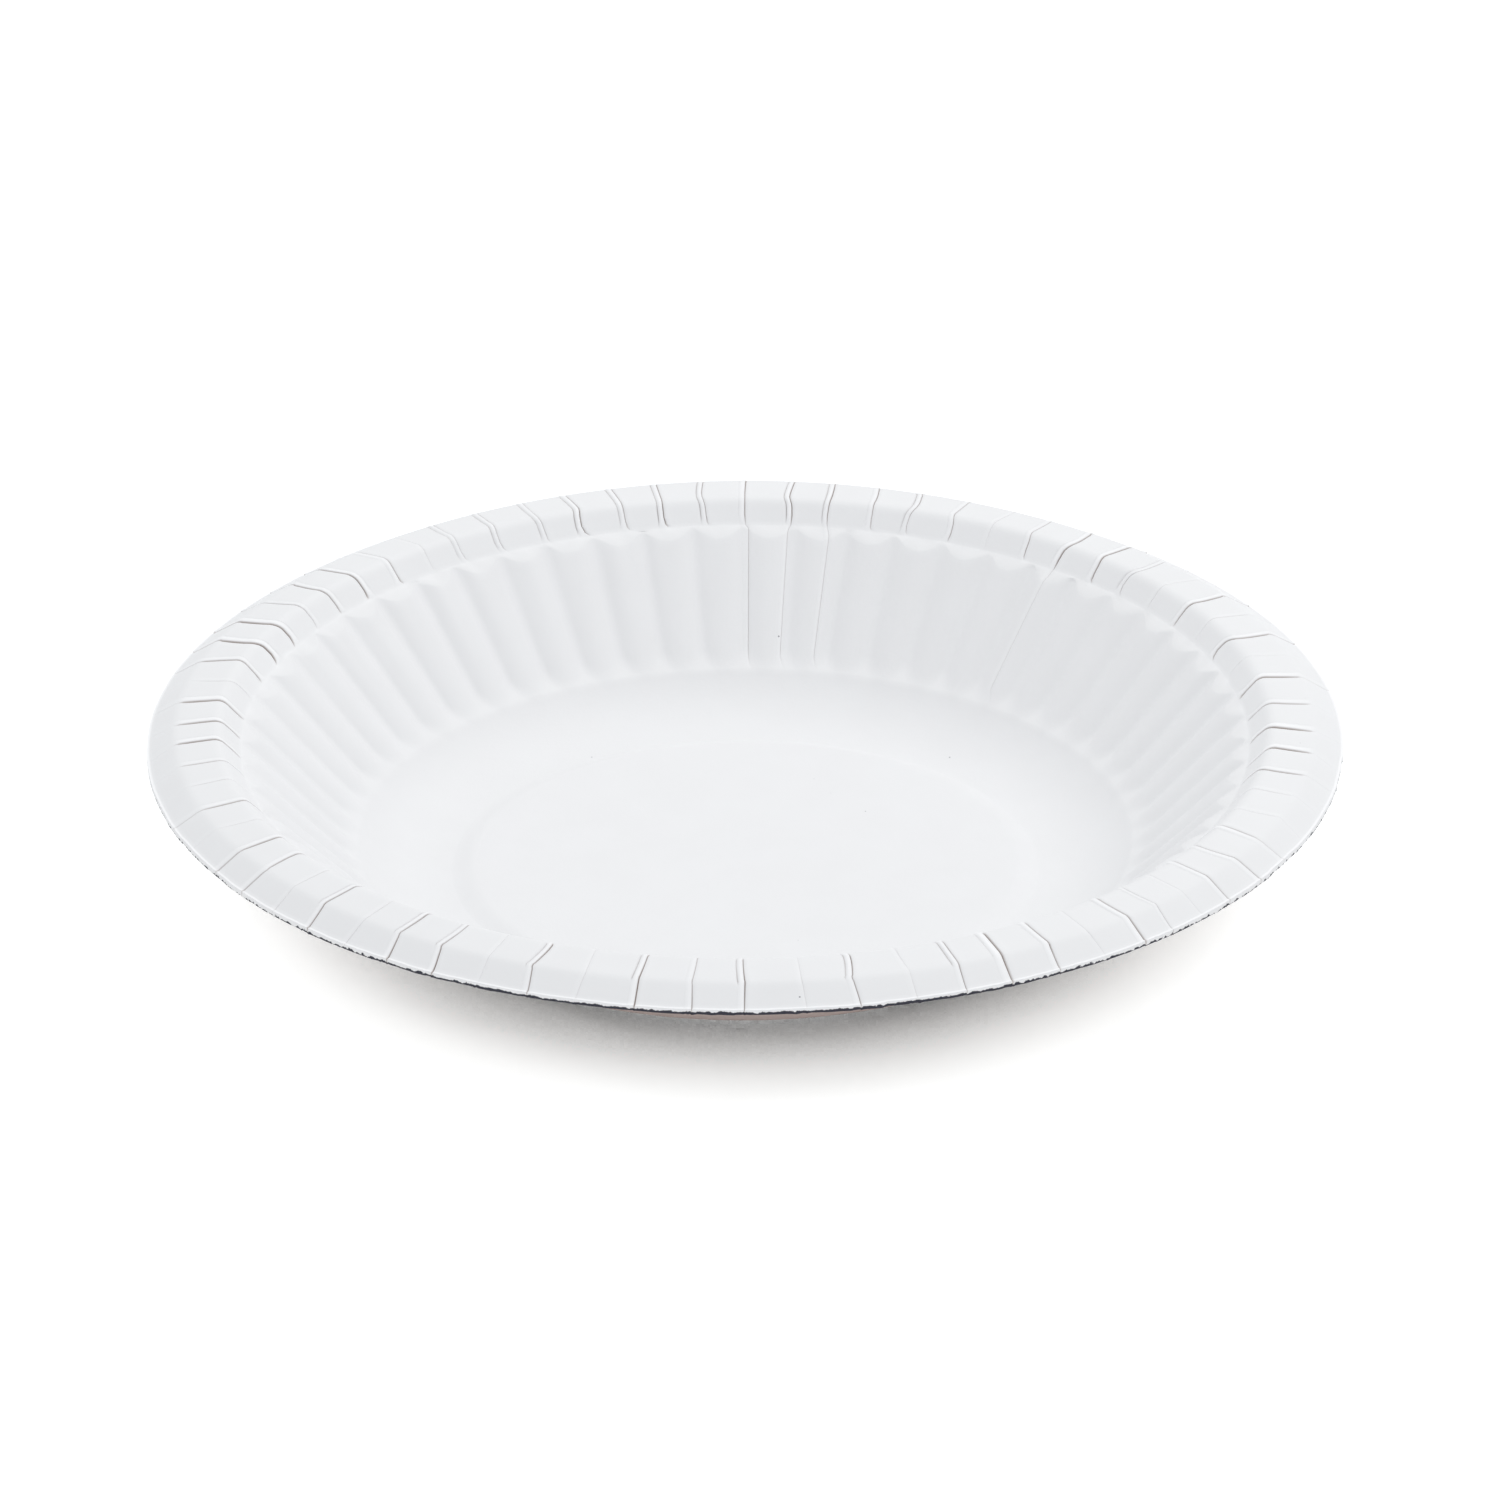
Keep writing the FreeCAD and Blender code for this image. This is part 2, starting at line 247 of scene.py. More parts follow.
# %% The pleats
PLEATS = "edddeeefsssmwwsfwssmfsfssfdfddfdfdmdfdfdwsfwmfsssffsssmsfsfsfesSmfmemDDS"
PLEAT_LOOKS = {
    # depth, breadth and second line, as shares of a full fold
    "f": (0.22, 0.7, 0.0),
    "m": (0.55, 0.8, 0.15),
    "s": (0.90, 1.0, 0.2),
    "d": (0.80, 0.8, 0.7),
    "e": (0.50, 0.7, 0.6),
    "w": (1.00, 1.5, 0.3),
}
pleat_step = 360 / pleat_count
first_pleat = 95.0
fold_depth, lip_height = 0.40, 0.12
most_lean = 0.4
most_ragged = 0.14
COLUMNS = (
    # degrees from the main line, main line, second line, raised fold between the two; the lines
    # also carry the painted fold shade and the raised fold the painted highlight
    (-2.34, 0.0, 0.0, 0.0),
    (-1.60, 0.0, 0.0, 0.0),
    (-1.00, 0.0, 0.0, 0.0),
    (-0.84, 0.0, 0.1, 0.0),
    (-0.74, 0.0, 1.0, 0.0),
    (-0.64, 0.0, 0.1, 0.5),
    (-0.38, 0.0, 0.0, 0.9),
    (-0.14, 0.0, 0.0, 1.0),
    (-0.06, 0.3, 0.0, 0.9),
    (0.00, 1.0, 0.0, 0.0),
    (0.06, 0.4, 0.0, 0.0),
    (0.20, 0.0, 0.0, 0.2),
    (0.60, 0.0, 0.0, 0.1),
    (1.30, 0.0, 0.0, 0.0),
    (2.00, 0.0, 0.0, 0.0),
)
columns_each = len(COLUMNS)
blank_columns = pleat_count * columns_each

# Each pleat gets five leans in degrees and five strengths, spread from the wall's top to
# the cut edge, and one small step of the cut edge in millimetres.
dice = random.Random(72)
pleat_leans = [[dice.uniform(-most_lean, most_lean) for _ in range(5)] for _ in PLEATS]
pleat_moods = [[dice.uniform(0.6, 1.15) for _ in range(5)] for _ in PLEATS]
edge_steps = [dice.uniform(0.0, most_ragged) for _ in PLEATS]
print(len(PLEATS), "pleats,", blank_columns, "columns")

# %% [markdown]
# ## The blank
#
# A flat disc is a row of points turned about the axis. The points lie where the section
# needs detail: close together on the bends, far apart on the flat panel. The middle is
# turned in fewer steps than the wall and rim, because only those carry flutes and pleats,
# and the two parts are joined by a bridge between their edge loops. Each point remembers
# its place on the section in a layer of its own, which the spin copies for us.

# %% The blank
ZONES = (
    "panel", "step", "ring", "cove",
    "wall", "shelf", "band", "crest", "top", "bend", "skirt",
)
MIDDLE_PARTS = {
    "panel": (0.3, 0.65, 0.9, 0.99),
    "step": (0.06, 0.35, 0.65, 0.94),
    "ring": (0.04, 0.5, 0.96),
    "cove": (0.12, 0.26, 0.4, 0.54, 0.68, 0.82, 0.95),
}
RIM_PARTS = {
    "wall": (0.0, 0.05, 0.1, 0.16, 0.22, 0.28, 0.35, 0.42, 0.5, 0.62, 0.8, 0.96, 0.995),
    "shelf": (0.04, 0.5, 0.95),
    "band": (0.03, 0.2, 0.5, 0.85),
    "crest": (0.0, 0.25, 0.5, 0.75, 1.0),
    "top": (0.2, 0.4, 0.6, 0.8),
    "bend": (0.0, 0.33, 0.67, 1.0),
    "skirt": (0.25, 0.5, 0.75, 0.87, 0.93, 1.0),
}
middle_columns = 240
# The end of a zone stays just short of the next whole number, so that it keeps its zone.
zone_length = 0.999
merge_distance = 1e-5


def stations(parts):
    """Places on the section as one rising number: the zone's index and the part of it."""
    return [
        index + part * zone_length
        for index, zone in enumerate(ZONES)
        for part in parts.get(zone, ())
    ]


def turned_rows(bm, layer, places, columns):
    """Points at the places along X, turned about the axis into a flat sheet.

    The place itself serves as the radius, because the press gives each point its real one.
    """
    row = []
    for place in places:
        point = bm.verts.new((place + 1.0, 0.0, 0.0))
        point[layer] = place
        row.append(point)
    edges = [bm.edges.new(pair) for pair in zip(row, row[1:])]
    bmesh.ops.spin(
        bm, geom=row + edges, axis=(0, 0, 1), cent=(0, 0, 0), dvec=(0, 0, 0),
        angle=math.tau, steps=columns, use_merge=True,
    )


blank = bmesh.new()
place_layer = blank.verts.layers.float.new("place")
turned_rows(blank, place_layer, [0.0] + stations(MIDDLE_PARTS), middle_columns)
bmesh.ops.remove_doubles(blank, verts=blank.verts, dist=merge_distance)
centre = [point for point in blank.verts if point[place_layer] == 0.0]
bmesh.ops.pointmerge(blank, verts=centre, merge_co=(0, 0, 0))
turned_rows(blank, place_layer, stations(RIM_PARTS), blank_columns)
bmesh.ops.remove_doubles(blank, verts=blank.verts, dist=merge_distance)

# %% Join the two parts of the blank
open_edges = [edge for edge in blank.edges if edge.is_boundary]
cut_place = max(point[place_layer] for point in blank.verts)
inner_loops = [edge for edge in open_edges if edge.verts[0][place_layer] < cut_place - 0.001]
bmesh.ops.bridge_loops(blank, edges=inner_loops)
bmesh.ops.recalc_face_normals(blank, faces=blank.faces)
if blank.faces[0].normal.z < 0:
    bmesh.ops.reverse_faces(blank, faces=blank.faces)
print("blank:", len(blank.verts), "points,", len(blank.faces), "faces")

# %% [markdown]
# ## Thickness
#
# The blank gets its thickness while it is still flat, as real board has it. Then every
# point of the lower face knows from its height how deep it lies in the board.

# %% Thickness
bmesh.ops.solidify(blank, geom=list(blank.faces), thickness=board)
levels = sorted({round(point.co.z, 4) for point in blank.verts})
top_level = levels[-1]
print("levels of the flat blank:", levels, "faces", len(blank.faces))

# %% [markdown]
# ## What the press leaves uneven
#
# A real rim isn't as even as its die. The blank slips by a degree or so as the dies close,
# the rim warps by half a millimetre as the bowl dries, and the board is crushed where the
# shelves meet the ledge. Each could be a sculpted detail, but each is only a smooth change
# with the turn round the bowl or with the place on the section, so a small function for
# each is shorter, and it gives the same bowl every time. Turns are in degrees from the X
# axis, and the back of the bowl is at 90.

# %% What the press leaves uneven
slip_across, slip_behind, slip_beside = 1.15, 0.45, 3.3
warp_up, warp_down = 0.48, 0.40
ruffle_height = 0.28


def bell(turn, middle, half_width):
    """1 at the middle of a sector, and smoothly down to 0 at both its ends."""
    return smooth(1 - abs((turn - middle + 180) % 360 - 180) / half_width)


def drift(turn):
    """Slip of the blank: pleats lie closer at the back, and turned to the front at one side."""
    across = min(max(3 * math.cos(math.radians(turn)), -1.0), 1.0)
    side = (turn + 90) % 360
    slipped = slip_across * across - slip_behind * bell(turn, 90, 40)
    return slipped - slip_beside * smooth((side - 36) / 20) * smooth((104 - side) / 20)


def rim_warp(turn):
    """How far the rim stands above or below the die's shape once the bowl has dried."""
    return warp_up * bell(turn, 90, 36) - warp_down * bell(turn, 150, 34)


def ruffle(turn, place):
    """How far the shelves are crushed in or out near the ledge."""
    spot = Vector((30 * math.cos(turn), 30 * math.sin(turn), 1.3 * place))
    height_here = ruffle_height * noise.noise(spot)
    return height_here * smooth((place - 4.6) / 0.4) * (1 - smooth((place - 5.6) / 0.4))


print("drift at the back and front:", drift(90), drift(270), "warp at the back:", rim_warp(90))

# %% [markdown]
# ## The fold
#
# In the rim the columns of points draw together at each pleat, so that a crease only a
# few tenths of a millimetre wide still has points on both its sides. A crease is board
# pushed deeper and a lip is board pushed less deep, so both use the same die with another
# depth. Cutting seventy-two slots with booleans would leave torn faces and no lip. Two
# shares are kept for the finish to read: painted shade inside each fold, and a painted
# highlight on its raised lip.

# %% The fold
# The second line counts for half in the painted shade of a fold.
fold_reach, second_share = 0.9, 0.5
wall_fold_strength = 0.35
groove_pull = 0.45
# Strength and unevenness of the painted highlight along the ledge.
ledge_highlight, ledge_highlight_unevenness = 0.45, 0.8


def spread(reach, breadth):
    """Widen the middle of a fold and leave its surroundings where they are."""
    return reach * (1 + (breadth - 1) * (1 - smooth(abs(reach) / 1.6)))


def along_pleat(values, place):
    """Value at a place, from five values spread between the wall's top and the cut edge."""
    share = min(max((place - 5.0) / 6.0, 0.0), 1.0) * (len(values) - 1)
    index = min(int(share), len(values) - 2)
    return values[index] + (values[index + 1] - values[index]) * smooth(share - index)


def pleat_column(even):
    """Number of the pleat, and what the column of points there carries."""
    middle = columns_each // 2
    column = round((even - first_pleat) / 360 * blank_columns) + middle
    pleat, column = divmod(column % blank_columns, columns_each)
    # At the back of the rim the folds lie over to the other side.
    if pleat <= 8 or pleat >= 49:
        reach, *marks = COLUMNS[columns_each - 1 - column]
        return pleat, -reach, marks
    reach, *marks = COLUMNS[column]
    return pleat, reach, marks


def fold_strength(pleat, near, beside, place):
    """How far a pleat draws its columns together, and how strong its fold is, at a place."""
    gather = smooth((place - 5.6) / 0.8)
    strength = smooth((place - 5.9) / 0.5)
    if PLEATS[pleat].isupper():
        gather = max(gather, near * smooth((place - 3.9) / 0.5))
        strength = max(strength, wall_fold_strength * smooth((place - 3.9) / 0.6))
    strength *= along_pleat(pleat_moods[pleat], place)
    # At the two sides the folds gape on the rim's top and close on the skirt.
    return gather, strength * (1 - 0.9 * beside * smooth((place - 8.5) / 1.2))


def fold_at(even, place):
    """Turn of the drawn column, how far its board sinks, its painted fold shade and its painted
    highlight.
    """
    pleat, reach, (main_line, second_line, raised) = pleat_column(even)
    depth, breadth, second = PLEAT_LOOKS[PLEATS[pleat].lower()]
    near = 1 - smooth((abs(reach) - fold_reach) / 1.3)
    beside = max(bell(even, 182, 46), bell(even, 358, 46))
    gather, strength = fold_strength(pleat, near, beside, place)
    breadth += 0.6 * beside * smooth((place - 7.0) / 1.0)
    drawn = first_pleat + pleat * pleat_step + spread(reach, breadth)
    drawn += along_pleat(pleat_leans[pleat], place) * near
    away = (drawn - even + 180) % 360 - 180
    # On the wall the columns draw towards the grooves instead.
    flute_turn = math.tau * even * flute_count / 360
    closer = -groove_pull * math.sin(flute_turn) * 360 / flute_count / math.tau
    turn = even + away * gather + closer * smooth((place - 4.0) / 0.15) * (1 - gather)
    second *= second_line * smooth((place - 5.9) / 0.5) * (1 - smooth((place - 9.2) / 0.9))
    sink = (fold_depth * (main_line * depth + second) - lip_height * depth * raised) * strength
    # Painted shade inside the crease, darkest on the main line, and a painted highlight on the
    # raised lip.
    fold_shade = (main_line * depth + second_share * second) * strength
    painted_highlight = raised * depth * strength
    if 5.0 <= place < 7.0:
        # A painted highlight runs along the ledge, here stronger and there weaker.
        ledge_highlight_here = ledge_highlight + ledge_highlight_unevenness * noise.noise(Vector((even * 0.6, 7.0, 0.0)))
        painted_highlight = max(painted_highlight, ledge_highlight_here * (1 - smooth(abs(place - 5.99) / 0.08)))
    return turn, sink, fold_shade, painted_highlight


print("fold in the middle of the first pleat:", fold_at(first_pleat, 8.5))

# %% [markdown]
# ## The press
#
# The press takes each point of the flat blank to its place on the die. The trimming knife
# then cuts the skirt straight down: it pulls up a burr along the upper edge and tears
# fibres along the lower one. The burr is raised and painted pale, partly for its bare
# fibres and partly as a painted highlight; the shade under the torn fibres is painted
# dark later by the finish. A solid cut by a plane would have an edge as clean as glass,
# so the last rows of points are moved instead.

# %% The press
rim_start, under_share = 4.0, 0.6
burr_start, burr_height = 0.87, 0.24
tear_depth = 0.3


def trim(pressed, part, deep, even):
    """Cut the skirt; return the point and how pale its burr is painted: partly bare fibre, partly
    painted highlight.
    """
    pleat = pleat_column(even)[0]
    torn = edge_steps[pleat] + 0.05 * (1 + noise.noise(Vector((even * 2.1, 0.0, 0.0))))
    plumb = deep * math.tan(math.radians(skirt_fall))
    pressed = pressed + direction(-skirt_fall) * (plumb - torn) * part * part
    burr = max(part - burr_start, 0.0) / (1 - burr_start) if deep == 0 else 0.0
    pressed.y += burr_height * burr
    if deep and part > 0.99:
        pressed.y -= tear_depth * abs(noise.noise(Vector((even * 3.1, 3.0, 0.0))))
    return pressed, min(3 * burr, 1.0)


def press(point):
    """Move a point of the blank to its place; return its painted fold shade and painted
    highlight.
    """
    place = point[place_layer]
    deep = board if point.co.z < top_level - board / 2 else 0.0
    even = math.degrees(math.atan2(point.co.y, point.co.x)) % 360
    index = min(int(place + merge_distance), len(ZONES) - 1)
    zone, part = ZONES[index], min((place - index) / zone_length, 1.0)
    turn, sink, fold_shade, painted_highlight = even, 0.0, 0.0, 0.0
    if place >= rim_start:
        turn, sink, fold_shade, painted_highlight = fold_at(even, place)
    turn = math.radians(turn + drift(turn))
    warp = rim_warp(math.degrees(turn)) * min(max(place - 8.0, 0.0), 1.0)
    pressed = section_point(zone, part, turn, deep + sink * (1.0 if deep == 0 else under_share))
    pressed = pressed + normal(wall_slope) * ruffle(turn, place)
    if zone == "skirt":
        pressed, burr = trim(pressed, part, deep, even)
        painted_highlight = max(painted_highlight, burr)
    outwards = Vector((math.cos(turn), math.sin(turn), 0))
    point.co = outwards * pressed.x + Vector((0, 0, pressed.y + warp))
    return (fold_shade, painted_highlight) if deep == 0 else (0.5 * fold_shade, 0.0)


# %% Press the blank
# Layers for the painted fold shade, the painted highlight, and the mask of the painted shade
# under torn fibres.
fold_shade_layer = blank.verts.layers.float.new("fold_shade")
highlight_layer = blank.verts.layers.float.new("painted_highlight")
depth_layer = blank.verts.layers.float.new("depth")
# A new layer moves the old ones, so the place layer is looked up again.
place_layer = blank.verts.layers.float["place"]
lower = [point.co.z < top_level - board / 2 for point in blank.verts]
blank.verts.index_update()
for point in blank.verts:
    # The painted shade under the torn fibres of the cut is strong at the front of the bowl and
    # faint elsewhere.
    edge_shade_here = bell(math.degrees(math.atan2(point.co.y, point.co.x)), 270, 66)
    point[depth_layer] = lower[point.index] * (0.5 + 0.5 * edge_shade_here)
    point[fold_shade_layer], point[highlight_layer] = press(point)
bmesh.ops.scale(blank, vec=(MM, MM, MM), verts=blank.verts)
print("pressed bowl, mm3:", round(blank.calc_volume(signed=True) / MM**3))

# %% Sides of the board
# Face numbers: 0 the coated side, 1 the back, 2 the cut edge, with a sharp border between.
for face in blank.faces:
    sides = {lower[point.index] for point in face.verts}
    face.material_index = 2 if len(sides) == 2 else int(sides.pop())
    face.smooth = True
for edge in blank.edges:
    edge.smooth = len({face.material_index for face in edge.link_faces}) == 1
print("cut edge:", sum(face.material_index == 2 for face in blank.faces), "faces")

# %% [markdown]
# ## Into the scene
#
# The pressed mesh becomes one object at the origin. It rides on the frame's only body and
# stands for the CAD bowl.

# %% Into the scene
bowl_mesh = bpy.data.meshes.new("pressed_bowl")
blank.to_mesh(bowl_mesh)
blank.free()
pressed_bowl = bpy.data.objects.new("pressed_bowl", bowl_mesh)
bpy.context.scene.collection.objects.link(pressed_bowl)
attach(pressed_bowl, "root")
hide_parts("bowl")
print("triangles:", sum(len(face.vertices) - 2 for face in bowl_mesh.polygons))

# %% [markdown]
# ## Node helpers
#
# One function adds a node with its settings and its links, and one turns the sRGB hex
# value of a colour to the linear numbers that Blender works in.


# %% Node helpers
def linear(code):
    """Linear colour of an sRGB hex value."""
    shares = [int(code[start:start + 2], 16) / 255 for start in (1, 3, 5)]
    light = [s / 12.92 if s <= 0.04045 else ((s + 0.055) / 1.055) ** 2.4 for s in shares]
    return (*light, 1.0)


def node(tree, kind, settings=None, **inputs):
    """Add a node, with its settings, and its inputs as values or as links to outputs.

    An input is named as in Blender, with _ for a space, or i and its number.
    """
    made = tree.nodes.new(kind)
    for name, value in (settings or {}).items():
        setattr(made, name, value)
    for name, value in inputs.items():
        key = int(name[1:]) if name[0] == "i" and name[1:].isdigit() else name.replace("_", " ")
        socket = made.inputs[key]
        if isinstance(value, bpy.types.NodeSocket):
            tree.links.new(value, socket)
        else:
            socket.default_value = value
    return made


def new_material(name):
    material = bpy.data.materials.new(name)
    material.use_nodes = True
    material.node_tree.nodes.clear()
    return material, material.node_tree


print("middle grey in linear light:", linear("#808080"))

# %% [markdown]
# ## The board's surface
#
# Paperboard is a felt of wood fibres. Its coated side is smooth white clay, through which
# the fibres still show as a fine unevenness, with a rare grey fleck where a darker fibre
# lies near the surface. The uncoated underside is warmer and rougher, and the cut edge
# shows bare bright fibres. A scanned paper texture would bring a fixed lighting and seams,
# so the patterns are nodes on object coordinates, scaled in millimetres. The three
# finishes differ only in colour, roughness and how strong the relief is, so one function
# makes them all: a stack of colours, each laid over the last by its own share. Some
# layers are painted light: painted shade inside the folds, a painted highlight on the
# fold lips, the ledge and the burr, and painted shade under the torn fibres of the cut.


# %% Patterns of the board
def fleck_share(tree, place, flecks):
    """1 on a fleck: of the cells of 2.6 mm a few hold one, a fifth of a millimetre across."""
    cells = node(
        tree, "ShaderNodeTexVoronoi", Vector=place, Scale=1 / (2.6 * MM), Randomness=1.0,
    )
    pick = node(tree, "ShaderNodeSeparateColor", Color=cells.outputs["Color"])
    chosen = node(
        tree, "ShaderNodeMath", {"operation": "LESS_THAN"}, i0=pick.outputs[0], i1=flecks,
    )
    near = node(
        tree, "ShaderNodeMapRange", Value=cells.outputs["Distance"],
        From_Min=0.03, From_Max=0.07, To_Min=1.0, To_Max=0.0,
    )
    fleck = node(
        tree, "ShaderNodeMath", {"operation": "MULTIPLY"},
        i0=near.outputs[0], i1=chosen.outputs[0],
    )
    return fleck.outputs[0]


def torn_shade_share(tree, place):
    """1 on the lower part of the cut, painted in the shade of torn fibres."""
    depth = node(tree, "ShaderNodeAttribute", {"attribute_name": "depth"})
    # Tufts of torn fibre are 0.7 mm apart.
    tear = node(tree, "ShaderNodeTexNoise", Vector=place, Scale=1 / (0.7 * MM), Detail=3.0)
    border = node(
        tree, "ShaderNodeMath", {"operation": "ADD"},
        i0=tear.outputs["Fac"], i1=depth.outputs["Fac"],
    )
    torn = node(
        tree, "ShaderNodeMapRange", Value=border.outputs[0], From_Min=0.92, From_Max=1.0,
    )
    return torn.outputs[0]


# %% The board's surface
def board_finish(name, colour, fold_shade_and_cloud_tone, roughness, relief, flecks, torn=False):
    """colour is the surface's own colour; the next colour is painted shade inside a fold,
    brownish for bare fibre, and the faint tone of the board's cloudiness.
    """
    material, tree = new_material(name)
    place = node(tree, "ShaderNodeTexCoord").outputs["Object"]
    # Cloudiness of the felt, about 9 mm across.
    cloud = node(tree, "ShaderNodeTexNoise", Vector=place, Scale=1 / (9 * MM), Detail=2.0)
    cloudy = node(
        tree, "ShaderNodeMapRange", Value=cloud.outputs["Fac"],
        From_Min=0.3, From_Max=0.7, To_Max=0.015,
    )
    painted_highlight = node(tree, "ShaderNodeAttribute", {"attribute_name": "painted_highlight"})
    fold_shade = node(tree, "ShaderNodeAttribute", {"attribute_name": "fold_shade"})
    fold_shade_share = node(
        tree, "ShaderNodeMapRange", Value=fold_shade.outputs["Fac"],
        From_Min=0.08, From_Max=0.75, To_Max=0.95,
    )
    # In order: the board's own cloudy tone, painted highlight on lips, ledge and burr, painted
    # shade in the folds, grey flecks, and on the cut edge painted shade under torn fibres.
    layers = [
        (cloudy.outputs[0], fold_shade_and_cloud_tone),
        (painted_highlight.outputs["Fac"], highlight_white),
        (fold_shade_share.outputs[0], fold_shade_and_cloud_tone),
        (fleck_share(tree, place, flecks), fleck_grey),
    ]
    if torn:
        layers.append((torn_shade_share(tree, place), fibre_shade))
    surface = linear(colour)
    for share, over in layers:
        laid = node(
            tree, "ShaderNodeMix", {"data_type": "RGBA"}, i0=share, i6=surface, i7=linear(over),
        )
        surface = laid.outputs[2]
    # A single fibre, 0.03 mm wide, is too fine to show, so the relief has tufts of 0.5 mm.
    fibre = node(
        tree, "ShaderNodeTexNoise", Vector=place, Scale=1 / (0.5 * MM), Detail=4.0, Roughness=0.6,
    )
    bump = node(
        tree, "ShaderNodeBump", Height=fibre.outputs["Fac"], Strength=relief, Distance=0.05 * MM,
    )
    shader = node(
        tree, "ShaderNodeBsdfPrincipled", Base_Color=surface, Roughness=roughness,
        IOR=1.5, Normal=bump.outputs[0],
    )
    node(tree, "ShaderNodeOutputMaterial", Surface=shader.outputs[0])
    return material


# %% The three finishes
# The white of the painted highlights, the grey of the flecks, and the painted shade under torn
# fibres.
highlight_white, fleck_grey, fibre_shade = "#fcfcfd", "#96969a", "#3a3a44"
# Clay-coated white board: a soft sheen, nearly neutral, a little cool; folds get painted shade,
# brownish for bare fibre.
coated_board = board_finish("coated_paperboard", "#f1f1f2", "#7d6355", 0.62, 0.35, 0.03)
# The uncoated back of the same board: matt, and a warm brownish grey in the shade.
board_back = board_finish("uncoated_board_back", "#f2e2dc", "#8a7c75", 0.85, 0.6, 0.04)
# The bare fibres of the cut edge: matt and bright, with painted shade along the torn lower
# border.
cut_board = board_finish("cut_board_edge", "#fafafa", "#b8a99e", 0.9, 0.8, 0.0, torn=True)
for finish in (coated_board, board_back, cut_board):
    bowl_mesh.materials.append(finish)
print("finishes:", [finish.name for finish in bowl_mesh.materials])

# %% [markdown]
# ## The table
#
# The bowl stands on a plain white table that has no visible edge, so one large sheet is
# enough. Its matt white alone would come out grey, and more light would burn out the
# bowl. So a little glow is added, for the camera and for reflections only. The glow fades
# where the bowl covers the table, which leaves the bowl's soft shadow.

# %% The table
floor_bm = bmesh.new()
bmesh.ops.create_grid(floor_bm, x_segments=8, y_segments=8, size=3.0)
floor_mesh = bpy.data.meshes.new("table")
floor_bm.to_mesh(floor_mesh)
floor_bm.free()
table = bpy.data.objects.new("table", floor_mesh)
bpy.context.scene.collection.objects.link(table)
print("table:", [round(side, 1) for side in table.dimensions], "m")

# %% The table's glow
table_glow, covered_from, covered_power, cover_reach = 0.84, 0.106, 2.25, 50 * MM
table_white, tree = new_material("matt_white_table")
ray = node(tree, "ShaderNodeLightPath")
seen = ray.outputs["Is Camera Ray"]
for kind in ("Is Glossy Ray", "Is Transmission Ray"):
    either = node(
        tree, "ShaderNodeMath", {"operation": "ADD", "use_clamp": True},
        i0=seen, i1=ray.outputs[kind],
    )
    seen = either.outputs[0]

open_sky = node(tree, "ShaderNodeAmbientOcclusion", {"samples": 16}, Distance=cover_reach)
closed = node(
    tree, "ShaderNodeMath", {"operation": "DIVIDE", "use_clamp": True},
    i0=covered_from, i1=open_sky.outputs["AO"],
)
covered = node(
    tree, "ShaderNodeMath", {"operation": "POWER"}, i0=closed.outputs[0], i1=covered_power,
)
uncovered = node(
    tree, "ShaderNodeMath", {"operation": "SUBTRACT"}, i0=1.0, i1=covered.outputs[0],
)
level = node(
    tree, "ShaderNodeMath", {"operation": "MULTIPLY"}, i0=uncovered.outputs[0], i1=table_glow,
)
lift = node(tree, "ShaderNodeMath", {"operation": "MULTIPLY"}, i0=level.outputs[0], i1=seen)
print("glow in the open:", round(table_glow * (1 - covered_from**covered_power), 3))

# %% The table's white
# What the camera sees of the white is a little cooler than what lights the bowl from below.
tone = node(
    tree, "ShaderNodeMix", {"data_type": "RGBA"},
    i0=seen, i6=linear("#f0f0f0"), i7=linear("#c0c8c8"),
)
matt = node(tree, "ShaderNodeBsdfDiffuse", Color=tone.outputs[2])
glow = node(tree, "ShaderNodeEmission", Color=(1, 1, 1, 1), Strength=lift.outputs[0])
both = node(tree, "ShaderNodeAddShader", i0=matt.outputs[0], i1=glow.outputs[0])
node(tree, "ShaderNodeOutputMaterial", Surface=both.outputs[0])
floor_mesh.materials.append(table_white)
print("table finish:", table_white.name, "with", len(tree.nodes), "nodes")

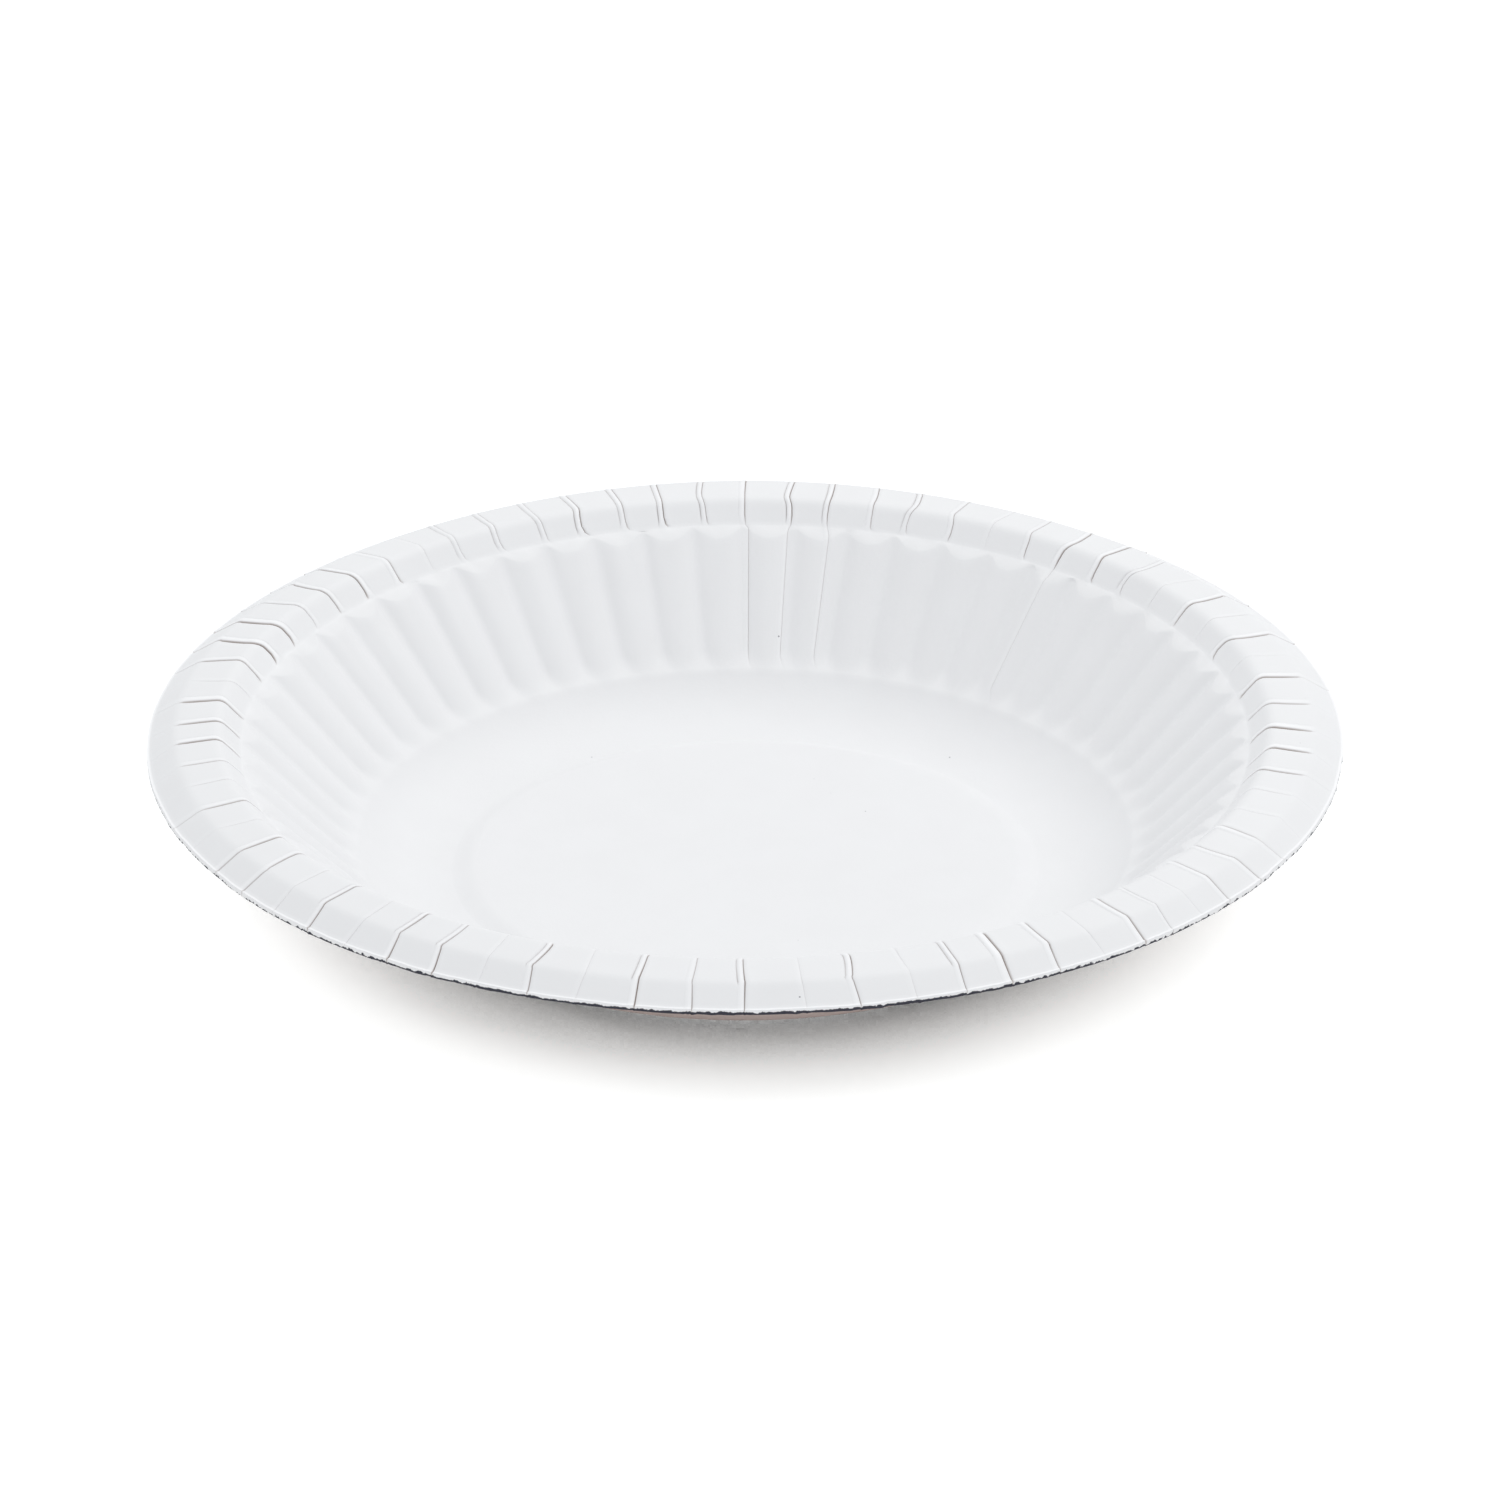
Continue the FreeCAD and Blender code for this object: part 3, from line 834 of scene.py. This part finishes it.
# %% [markdown]
# ## Light
#
# Soft studio light: a pale room all round, and one large softbox overhead, a little
# behind the bowl and to its right. It lights the right flank of each ridge at the back,
# leaves the inner wall at the right a shade darker, and drops a soft shadow in front.

# %% Light
world = bpy.data.worlds.new("pale_room")
bpy.context.scene.world = world
world.use_nodes = True
room = world.node_tree
room.nodes.clear()
air = node(room, "ShaderNodeBackground", Color=(0.978, 0.996, 1.016, 1), Strength=0.775)
node(room, "ShaderNodeOutputWorld", Surface=air.outputs[0])

softbox_light = bpy.data.lights.new("softbox", "AREA")
softbox_light.shape = "RECTANGLE"
softbox_light.size, softbox_light.size_y = 0.9, 0.9
softbox_light.energy = 5.5
softbox_light.color = (1.0, 0.99, 0.965)
softbox = bpy.data.objects.new("softbox", softbox_light)
softbox_place = Vector((0.40, 0.52, 1.22))
softbox_turn = softbox_place.to_track_quat("Z", "Y").to_matrix().to_4x4()
softbox.matrix_world = Matrix.Translation(softbox_place) @ softbox_turn
bpy.context.scene.collection.objects.link(softbox)
print("softbox", round(softbox_place.length, 2), "m from the bowl")

# %% [markdown]
# ## Camera
#
# A very long lens looks down at the bowl from the front, about 26 degrees above the
# table. From so far away there is hardly any perspective, so a strip of the brownish
# underside shows below the front of the rim.

# %% Camera
camera_rise, camera_roll = 25.97, -0.24
camera_distance, camera_lens = 3.0, 479.0
aim = Vector((0.0, 0.0, 0.0214))
camera_data = bpy.data.cameras.new("camera")
camera_data.sensor_width = 36.0
camera_data.lens = camera_lens
camera_data.shift_x, camera_data.shift_y = 0.0034, -0.0047
camera = bpy.data.objects.new("camera", camera_data)
tilt = math.radians(camera_rise)
camera_place = aim + Vector((0.0, -math.cos(tilt), math.sin(tilt))) * camera_distance
look_down = Matrix.Rotation(math.radians(90) - tilt, 4, "X")
roll = Matrix.Rotation(math.radians(camera_roll), 4, "Z")
camera.matrix_world = Matrix.Translation(camera_place) @ (look_down @ roll)
bpy.context.scene.collection.objects.link(camera)
bpy.context.scene.camera = camera
bpy.context.scene.view_settings.view_transform = "Standard"
print("camera at", [round(value, 3) for value in camera_place])
